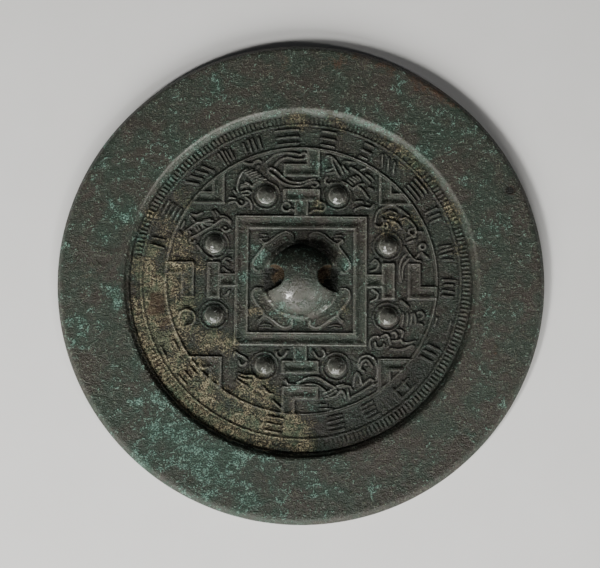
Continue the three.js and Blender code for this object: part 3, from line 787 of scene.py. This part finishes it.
def make_band():
    """The ring, stroke groups, comb and the plate's edge."""
    columns, rows = count(1440), count(60)
    inner, outer = BAND_INNER, BAND_OUTER

    def place(across, along):
        row, share, below = skin_rows(along, rows)
        radius = inner + (outer - inner) * share
        angle = across * 2 * math.pi
        x, y = radius * np.cos(angle), radius * np.sin(angle) + PATTERN_SHIFT
        top, said = plate_top(x, y)
        top = top - tuck(radius - inner)
        z = np.where(below, SLAB_BOTTOM, top)
        radius = np.where(row == rows, inner, radius)
        x, y = radius * np.cos(angle), radius * np.sin(angle) + PATTERN_SHIFT
        return np.stack([x, y, z], 1), said

    return wrapped("outer_band", columns, rows, place)


def square_point(share, half):
    """Points that run round a square of that half width, from the middle of its right side."""
    along = (share * 8 + 1) % 8
    side, t = np.floor(along / 2), (along % 2) - 1
    sides, edge = [side == number for number in range(4)], np.full(t.shape, half)
    x = np.select(sides, [edge, -t * half, -edge, t * half])
    y = np.select(sides, [t * half, edge, -t * half, -edge])
    return x, y


def make_field():
    """The figures, marks and nipples between the square and the ring."""
    columns, rows = count(1024), count(96)
    half, outer = FIELD_INNER, FIELD_OUTER

    def place(across, along):
        row, share, below = skin_rows(along, rows)
        share = np.where(row == rows, 0, share)
        sx, sy = square_point(across, half)
        angle = across * 2 * math.pi
        x = sx + (outer * np.cos(angle) - sx) * share
        y = sy + (outer * np.sin(angle) - sy) * share + PATTERN_SHIFT
        top, said = plate_top(x, y)
        from_square = np.maximum(np.abs(x), np.abs(y - PATTERN_SHIFT)) - half
        from_ring = outer - np.hypot(x, y - PATTERN_SHIFT)
        top = top - np.maximum(tuck(from_square, 0.22), tuck(from_ring))
        z = np.where(below, SLAB_BOTTOM, top)
        return np.stack([x, y, z], 1), said

    return wrapped("field", columns, rows, place)


def make_square_panel():
    """The square frame with the petals round the knob."""
    half = PANEL_HALF
    steps = count(248)
    bm = bmesh.new()
    bmesh.ops.create_grid(bm, x_segments=steps, y_segments=steps, size=half)
    rim = [edge for edge in bm.edges if edge.is_boundary]
    made = bmesh.ops.extrude_edge_only(bm, edges=rim)["geom"]
    low = [part for part in made if isinstance(part, bmesh.types.BMVert)]
    open_edges = [part for part in made if isinstance(part, bmesh.types.BMEdge)]
    bmesh.ops.translate(bm, vec=(0, 0, -1), verts=low)
    bmesh.ops.triangle_fill(bm, use_beauty=True, edges=open_edges)

    def place(points):
        x, y = points[:, 0], points[:, 1] + PATTERN_SHIFT
        top, said = plate_top(x, y)
        edge = half - np.maximum(np.abs(points[:, 0]), np.abs(points[:, 1]))
        z = np.where(points[:, 2] < -0.5, SLAB_BOTTOM, top - tuck(edge, 0.24))
        # Painted shade: the plate under the cord hole is darkened fully, except where the earth deposit lies in it.
        tunnel = (np.abs(points[:, 1]) < 4.5) & (np.abs(x) < 13.5)
        deposit = tunnel * (1 - between(np.abs(x), 9.5, 12)) * between(y, -2.5, 0.5)
        deposit = deposit * between(layered_noise(x, y, 2.0, 97), 0.3, 0.55)
        said["shade_and_stains"] = np.where(tunnel, 1 - deposit, said["shade_and_stains"])
        said["crust"] = np.maximum(said["crust"], deposit)
        said["rust"] = np.maximum(said["rust"], deposit)
        return np.stack([x, y, z], 1), said

    return finished("square_panel", bm, place)


def make_knob():
    """A round knob with a worn, flared cord hole through it."""
    sink = 0.35
    plain = dict.fromkeys(TRACE_NAMES, 0.0)
    dome_columns, dome_rows = 96, 30

    def dome_place(across, along):
        row = np.rint(along * dome_rows)
        angle = across * 2 * math.pi
        rise = np.clip((row - 2) / (dome_rows - 2), 0, 1) * math.pi / 2
        radius = (KNOB_RADIUS - 0.3) * np.cos(rise) ** 0.96
        radius = np.where(row == 0, 0, radius)
        z = FLOOR + KNOB_HEIGHT * np.sin(rise)
        z = np.where(row <= 1, FLOOR - sink, z)
        return np.stack([radius * np.cos(angle), radius * np.sin(angle) + PATTERN_SHIFT, z], 1), plain

    tube_columns, tube_rows = 40, 40
    hole_half, hole_height, wall, floor_dip = 4.4, 6.1, 2.3, 4.2
    length, flare_start, flare_rise, widen = 30.0, 2.6, 0.46, 0.05

    def tube_place(across, along):
        angle = across * 2 * math.pi
        x = (along - 0.5) * length
        flare = np.clip(np.abs(x) - flare_start, 0, None)
        y = hole_half * np.cos(angle) + widen * flare * (1 + np.cos(angle))
        arch = wall + (hole_height + flare_rise * flare - wall) * np.sin(angle)
        z = np.where(np.sin(angle) > 0, arch, wall + floor_dip * np.sin(angle))
        return np.stack([x, y + PATTERN_SHIFT + 0.2, FLOOR + z], 1), plain

    dome = wrapped("dome_blank", dome_columns, dome_rows, dome_place)
    tube = wrapped("hole_blank", tube_columns, tube_rows, tube_place)
    bm = bmesh.new()
    bm.from_mesh(tube.data)
    bmesh.ops.holes_fill(bm, edges=[edge for edge in bm.edges if edge.is_boundary], sides=0)
    bmesh.ops.recalc_face_normals(bm, faces=bm.faces)
    bm.to_mesh(tube.data)
    bm.free()

    cut = dome.modifiers.new("hole", "BOOLEAN")
    cut.operation, cut.object, cut.solver = "DIFFERENCE", tube, "EXACT"
    voxels = dome.modifiers.new("grain", "REMESH")
    voxels.mode, voxels.voxel_size = "VOXEL", 0.32 * MM
    soften = dome.modifiers.new("soften", "SMOOTH")
    soften.factor, soften.iterations = 0.5, 5
    bpy.context.view_layer.update()
    shaped = bpy.data.meshes.new_from_object(dome.evaluated_get(bpy.context.evaluated_depsgraph_get()))
    for blank in (dome, tube):
        bpy.data.objects.remove(blank)
    bm = bmesh.new()
    bm.from_mesh(shaped)
    bmesh.ops.scale(bm, vec=(1 / MM,) * 3, verts=bm.verts)

    def place(points):
        x, y, z = points.T
        reach = np.hypot(x, y - PATTERN_SHIFT)
        green = traces(x, y)[1]
        skin = (reach / KNOB_RADIUS) ** 2 + ((z - FLOOR) / KNOB_HEIGHT) ** 2
        within = between(1 - skin, 0.06, 0.16) * (z > FLOOR - sink + 0.1)
        dents = 0.06 * (layered_noise(x, y, 3.0, 91) - 0.5)
        points = points + np.stack([0 * x, 0 * x, np.where(z > FLOOR + 1, dents, 0)], 1)
        # Painted sheen: the lower half of the dome, which faces the lamps, is made lighter and glossier. Painted shade
        # darkens the near wall inside the cord hole, and the rest of the knob gets a darker tone.
        lit_front = between(-(y + 1), -2, 7) * (1 - within)
        return points, {
            "crust": 0.8 * within * between(y, -2.5, 1.5),
            "green": np.maximum(green, 0.3 * between(y, -4, 2)) * (1 - within),
            "rust": within,
            "wear_and_sheen": 0.95 * lit_front * (1 - 0.6 * between(-y, 7.0, 9.0)),
            "shade_and_stains": np.maximum(within * (1 - between(y, -3, 0)), 0.4 * (1 - within)),
        }

    return finished("knob", bm, place)


# Materials

class Shade:
    """One socket of the material's nodes. Arithmetic on it adds Math nodes."""

    tree = None

    def __init__(self, socket):
        self.socket = socket

    @classmethod
    def node(cls, kind, settings, inputs, output=0):
        made = cls.tree.nodes.new(kind)
        for name, value in settings.items():
            setattr(made, name, value)
        for name, value in inputs.items():
            if isinstance(value, Shade):
                cls.tree.links.new(value.socket, made.inputs[name])
            else:
                made.inputs[name].default_value = value
        return cls(made.outputs[output])

    def math(self, operation, first, second):
        return self.node("ShaderNodeMath", {"operation": operation}, {0: first, 1: second})

    def __add__(self, other):
        return self.math("ADD", self, other)

    def __radd__(self, other):
        return self.math("ADD", other, self)

    def __sub__(self, other):
        return self.math("SUBTRACT", self, other)

    def __rsub__(self, other):
        return self.math("SUBTRACT", other, self)

    def __mul__(self, other):
        return self.math("MULTIPLY", self, other)

    def __rmul__(self, other):
        return self.math("MULTIPLY", other, self)


def noise(place, scale, detail=3.0, roughness=0.55, distortion=0.0):
    return Shade.node(
        "ShaderNodeTexNoise", {"noise_dimensions": "3D"},
        {"Vector": place, "Scale": scale, "Detail": detail, "Roughness": roughness, "Distortion": distortion},
    )


def rise(value, low, high):
    """0 below low, 1 above high, smooth in between."""
    return Shade.node(
        "ShaderNodeMapRange", {"interpolation_type": "SMOOTHSTEP"},
        {"Value": value, "From Min": low, "From Max": high, "To Min": 0.0, "To Max": 1.0},
    )


def blend(mask, below, above):
    return Shade.node("ShaderNodeMix", {"data_type": "RGBA"}, {0: mask, 6: below, 7: above}, 2)


def trace(name):
    return Shade.node("ShaderNodeAttribute", {"attribute_type": "GEOMETRY", "attribute_name": name}, {}, 2)


def tone(red, green, blue):
    """A colour from its values as a picture program gives them."""
    return tuple(((c / 255 + 0.055) / 1.055) ** 2.4 if c > 10 else c / 255 / 12.92 for c in (red, green, blue)) + (1.0,)


# Tones of the bronze, its corrosion and the crust, and of worn crests with painted sheen and of stains with painted
# shade
OLIVE_BRONZE, BROWN_BRONZE = tone(51, 55, 46), tone(61, 57, 50)
GREEN_PATCH, WARM_PATCH = tone(50, 62, 51), tone(64, 55, 49)
DARK_MOTTLE, PALE_SPECK, BLACK_SPECK = tone(40, 43, 34), tone(116, 122, 106), tone(22, 24, 18)
GREEN_WASH, GREEN_PIT = tone(37, 66, 52), tone(34, 58, 47)
DULL_BLOOM, BRIGHT_BLOOM = tone(88, 112, 96), tone(172, 218, 198)
RUST_TONE, WORN_AND_SHEEN_TONE, SHADE_AND_STAIN_TONE = tone(80, 54, 36), tone(148, 147, 139), tone(17, 18, 13)
EARTH_PIT, EARTH_GRAIN = tone(20, 18, 10), tone(206, 194, 154)
EARTH_OLIVE, EARTH_BROWN, EARTH_GREEN = tone(66, 82, 56), tone(72, 52, 32), tone(86, 106, 80)
EARTH_RUST, EARTH_CREST_AND_SHEEN, EARTH_SHADE_AND_STAIN = tone(78, 52, 34), tone(182, 170, 138), tone(30, 28, 18)


def new_material(name):
    """A material that the next nodes go into, and its main shader."""
    material = bpy.data.materials.new(name)
    material.use_nodes = True
    Shade.tree = material.node_tree
    return material, material.node_tree.nodes["Principled BSDF"]


def patinated_bronze():
    """Dark bronze with green corrosion, earth crust, worn crests with painted sheen, and stains with painted shade,
    each led by its trace.
    """
    material, bsdf = new_material("patinated_bronze")
    metres = Shade.node("ShaderNodeTexCoord", {}, {}, 3)
    place = Shade.node("ShaderNodeVectorMath", {"operation": "SCALE"}, {0: metres, "Scale": 1 / MM})

    cloud = noise(place, 0.04, 3.0)
    patch = noise(place, 0.12, 5.0, 0.62, 0.4)
    mottle = noise(place, 0.36, 5.0, 0.68, 0.6)
    grain = noise(place, 0.9, 4.0, 0.65)
    speck = noise(place, 1.8, 3.0, 0.65)

    crust, green, rust = trace("crust"), trace("green"), trace("rust")
    wear_and_sheen, shade_and_stains = trace("wear_and_sheen"), trace("shade_and_stains")

    colour = blend(rise(cloud, 0.42, 0.6), OLIVE_BRONZE, BROWN_BRONZE)
    colour = blend(rise(patch, 0.45, 0.6) * 0.75, colour, GREEN_PATCH)
    colour = blend(rise(patch, 0.5, 0.38) * 0.5, colour, WARM_PATCH)
    colour = blend(rise(0.5 * mottle + 0.3 * grain + 0.2 * speck, 0.5, 0.6) * 0.7, colour, DARK_MOTTLE)
    colour = blend(rise(0.5 * grain + 0.3 * speck + 0.2 * mottle, 0.51, 0.62) * 0.8, colour, PALE_SPECK)
    colour = blend(rise(speck, 0.46, 0.34) * 0.7, colour, BLACK_SPECK)

    colour = blend(green * 0.6, colour, GREEN_WASH)
    spread = 0.55 * grain + 0.35 * speck + 0.55 * mottle + 0.15 * patch + 0.18 * green
    corroded = rise(spread, 0.905, 0.985)
    bloom = blend(rise(mottle, 0.44, 0.6), DULL_BLOOM, BRIGHT_BLOOM)
    verdigris = blend(rise(0.7 * speck + 0.3 * grain, 0.46, 0.6), GREEN_PIT, bloom)
    colour = blend(corroded * 0.85, colour, verdigris)

    rusty = rise(0.5 * mottle + 0.5 * grain + 0.2 * rust, 0.56, 0.66)
    colour = blend(rusty * rise(rust, 0.05, 0.6) * 0.8, colour, RUST_TONE)

    # Lighter where crests are worn, and where sheen and highlights are painted on the rim's edge and slope and on the
    # knob's lit half
    colour = blend(wear_and_sheen * (0.08 + 0.74 * grain), colour, WORN_AND_SHEEN_TONE)
    # Stains and painted shade darken the colour, the knob's painted cast shadow among them
    shade_and_stain_amount = shade_and_stains * (0.55 + 0.6 * mottle)
    colour = blend(shade_and_stain_amount, colour, SHADE_AND_STAIN_TONE)

    grit = rise(0.8 * speck + 0.2 * grain, 0.42, 0.58)
    earth = blend(grit, EARTH_PIT, EARTH_GRAIN)
    earth = blend(rise(mottle, 0.49, 0.6) * 0.7, earth, EARTH_OLIVE)
    earth = blend(rise(mottle, 0.47, 0.38) * 0.7, earth, EARTH_BROWN)
    earth = blend(rise(patch, 0.47, 0.58) * (0.25 + 0.45 * grit), earth, EARTH_GREEN)
    earth = blend(rise(rust, 0.2, 0.7) * (0.6 + 0.2 * mottle), earth, EARTH_RUST)
    # In the crust too: worn crests with painted sheen, then stains with painted shade
    earth = blend(wear_and_sheen * (0.2 + 0.4 * grit), earth, EARTH_CREST_AND_SHEEN)
    earth = blend(shade_and_stain_amount * 0.8, earth, EARTH_SHADE_AND_STAIN)
    covered = rise(crust + 1.0 * (grain - 0.5) + 1.5 * (speck - 0.5) + 0.8 * (mottle - 0.5), 0.1, 0.9) * 0.84
    colour = blend(covered, colour, earth)

    Shade.tree.links.new(colour.socket, bsdf.inputs["Base Color"])
    rough = 0.4 + 0.15 * (mottle - 0.5) + 0.26 * corroded + 0.44 * covered - 0.08 * shade_and_stain_amount - 0.3 * wear_and_sheen
    Shade.tree.links.new(rough.socket, bsdf.inputs["Roughness"])
    metal = (1 - covered) * (1 - corroded) * (1 - 0.6 * shade_and_stain_amount) * 0.12
    Shade.tree.links.new(metal.socket, bsdf.inputs["Metallic"])
    bsdf.inputs["Specular IOR Level"].default_value = 0.4

    height = (0.4 * mottle + 0.4 * grain + 0.22 * speck + 0.1 * corroded) * (1 - wear_and_sheen)
    height = height + covered * (0.8 * grain + 0.9 * speck)
    bump = Shade.node("ShaderNodeBump", {}, {"Strength": 1.0, "Distance": MM, "Height": height})
    Shade.tree.links.new(bump.socket, bsdf.inputs["Normal"])
    return material


FLOOR_REACH = 4.0


def pale_floor():
    """A plain pale disc below the mirror, in metres."""
    bm = bmesh.new()
    bmesh.ops.create_circle(bm, cap_ends=True, segments=64, radius=FLOOR_REACH)
    mesh = bpy.data.meshes.new("floor")
    bm.to_mesh(mesh)
    bm.free()
    floor = new_object("floor", mesh)
    material, bsdf = new_material("pale_floor")
    metres = Shade.node("ShaderNodeTexCoord", {}, {}, 3)
    colour = blend(noise(metres, 40.0, 4.0), tone(238, 236, 231), tone(246, 245, 241))
    Shade.tree.links.new(colour.socket, bsdf.inputs["Base Color"])
    bsdf.inputs["Roughness"].default_value = 0.85
    mesh.materials.append(material)


# The piece list

BRONZE = patinated_bronze()
for made in (make_rim_body(), make_band(), make_field(), make_square_panel(), make_knob()):
    made.data.materials.append(BRONZE)
    if made.name == "rim_body":
        two_sided_map(made)
    elif made.name in MAP_REACH:
        planar_map(made)
    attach(made, "root")
    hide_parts("mirror")
pale_floor()


# Light and camera

# Lamps as (name, place, size, watts), all turned to the mirror's middle
LAMPS = [
    ("left_window", (-0.66, -0.78, 0.76), (0.24, 0.2), 14),
    ("right_window", (0.68, -0.62, 0.80), (0.1, 0.1), 2),
    ("softbox", (-0.2, -1.4, 0.56), (1.5, 0.5), 42),
]
WORLD_TONE = (0.9, 0.93, 1.0, 1)
WORLD_STRENGTH = 0.03

for lamp_name, lamp_place, lamp_size, watts in LAMPS:
    lamp = bpy.data.lights.new(lamp_name, "AREA")
    lamp.shape = "RECTANGLE"
    lamp.size, lamp.size_y = lamp_size
    lamp.energy = watts
    lit = new_object(lamp_name, lamp)
    lit.location = lamp_place
    lit.rotation_euler = (-Vector(lamp_place)).to_track_quat("-Z", "Y").to_euler()

world = bpy.data.worlds.new("studio")
bpy.context.scene.world = world
world.use_nodes = True
world.node_tree.nodes["Background"].inputs["Color"].default_value = WORLD_TONE
world.node_tree.nodes["Background"].inputs["Strength"].default_value = WORLD_STRENGTH

# The view was fitted to the photo: focal length and width in its pixels
AIM = Vector((-0.336, -1.08, 3.0)) * MM
DISTANCE = 0.88
TILT = math.radians(10.6)
ROLL = math.radians(0.51)
SENSOR = 36.0
FOCAL_PIXELS = 2381.0
PHOTO_WIDTH = 600.0
lens_data = bpy.data.cameras.new("camera")
lens_data.sensor_width = SENSOR
lens_data.lens = SENSOR * FOCAL_PIXELS / PHOTO_WIDTH
lens_data.clip_start, lens_data.clip_end = 0.01, 20.0
camera = new_object("camera", lens_data)
camera.location = AIM + DISTANCE * Vector((0, -math.sin(TILT), math.cos(TILT)))
camera.rotation_euler = (Matrix.Rotation(TILT, 3, "X") @ Matrix.Rotation(ROLL, 3, "Z")).to_euler()
bpy.context.scene.camera = camera
